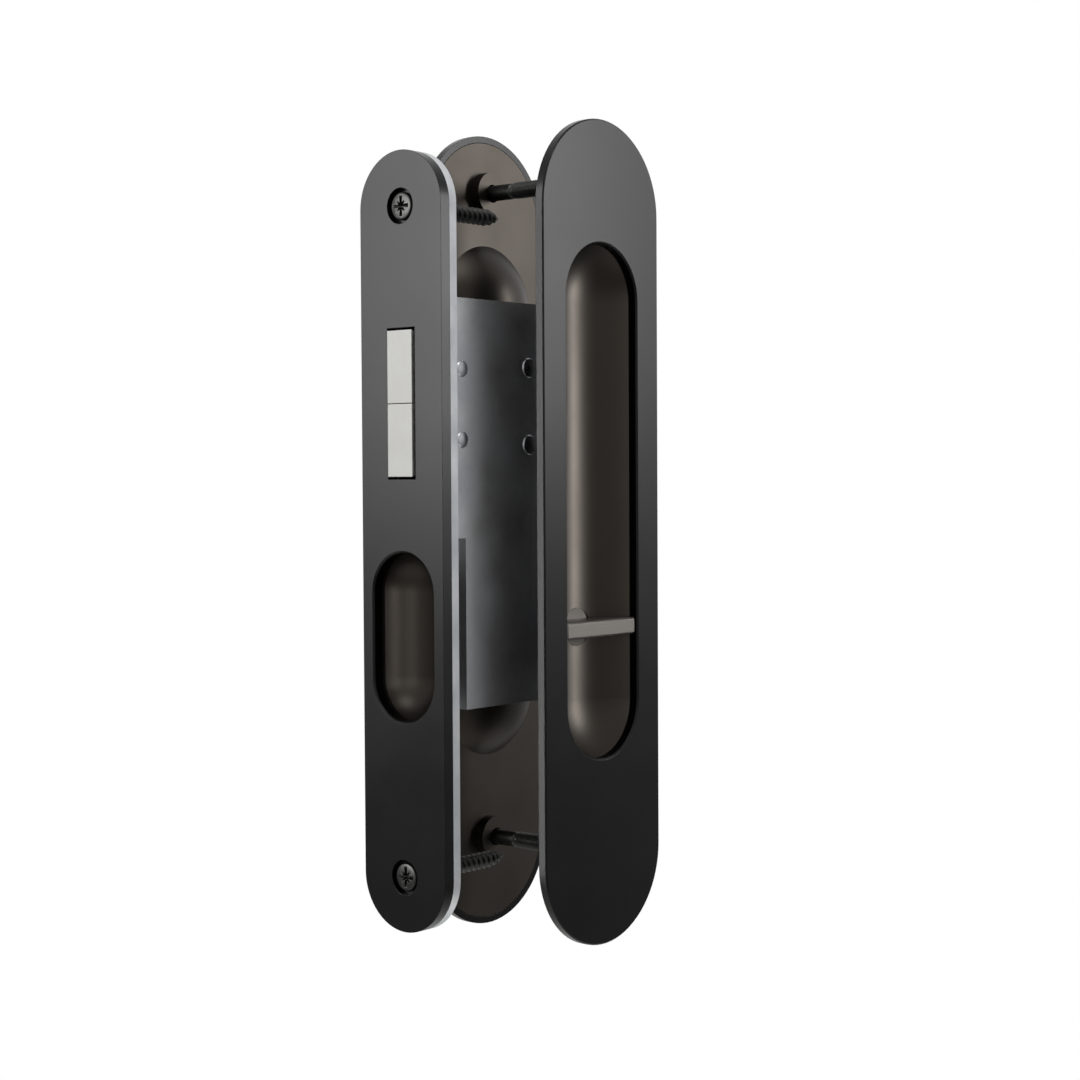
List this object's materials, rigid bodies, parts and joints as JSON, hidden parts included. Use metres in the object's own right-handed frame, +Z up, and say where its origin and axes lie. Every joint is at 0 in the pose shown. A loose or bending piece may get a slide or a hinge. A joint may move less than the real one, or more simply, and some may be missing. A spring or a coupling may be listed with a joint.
{
  "type": "cavity sliding door lock",
  "caption": "Mortice lock for a cavity sliding door: faceplate with spreading claw bolts and finger cup, and flush pulls with a bar turn.",
  "frame": {"origin": "centre of the forend's back face, where it seats in the edge of the door", "axes": "+X into the door from its edge, +Y through the door from the inner pull to the outer one, +Z up"},
  "size_m": [0.0693, 0.0388, 0.194],
  "materials": {
    "satin_black": "satin",
    "gunmetal": "satin",
    "turn_metal": "satin",
    "screw_steel": "satin",
    "satin_nickel": "satin",
    "zinc_plate": "plated",
    "cast_zinc": "cast",
    "bright_steel": "turned",
    "spring_steel": "drawn"
  },
  "bodies": {
    "lock": {"faceplate": "satin_black", "faceplate_screws": "screw_steel", "finger_cup": "gunmetal", "lock_case": "zinc_plate", "case_cover": "zinc_plate", "case_posts": "bright_steel", "case_screws": "bright_steel", "spreader_pins": "bright_steel", "guide_pins": "bright_steel", "detent_spring": "spring_steel", "turn_washer": "bright_steel", "inner_pull_body": "gunmetal", "inner_pull_cover": "satin_black", "outer_pull_body": "gunmetal", "outer_pull_cover": "satin_black", "release_washer": "bright_steel", "through_screws": "screw_steel"},
    "turn": {"hub": "cast_zinc", "drive_pin": "bright_steel", "spindle": "bright_steel", "turn_bar": "turn_metal", "turn_clip": "spring_steel", "emergency_release": "turn_metal", "release_clip": "spring_steel"},
    "carriage": {"bolt_carriage": "zinc_plate", "claw_pivots": "bright_steel"},
    "upper_claw": {"upper_claw": "satin_nickel"},
    "lower_claw": {"lower_claw": "satin_nickel"}
  },
  "joints": [
    {"name": "turn_spin", "type": "hinge", "parent": "lock", "child": "turn", "pos_m": [0.0425, 0, -0.0211], "axis": [0, -1, 0], "range_deg": [0, 90], "deforming": ["detent_spring"]},
    {"name": "carriage_slide", "type": "slide", "parent": "lock", "child": "carriage", "axis": [-1, 0, 0], "range_m": [0, 0.014]},
    {"name": "upper_claw_swing", "type": "hinge", "parent": "carriage", "child": "upper_claw", "pos_m": [0.024, 0, 0.0341], "axis": [0, 1, 0], "range_deg": [0, 11]},
    {"name": "lower_claw_swing", "type": "hinge", "parent": "carriage", "child": "lower_claw", "pos_m": [0.024, 0, 0.0283], "axis": [0, -1, 0], "range_deg": [0, 11]}
  ],
  "couplings": [
    {"joint": "turn_spin", "follows": "carriage_slide", "rad_per_m": 112.19},
    {"joint": "upper_claw_swing", "follows": "carriage_slide", "rad_per_m": 13.71},
    {"joint": "lower_claw_swing", "follows": "carriage_slide", "rad_per_m": 13.71}
  ]
}
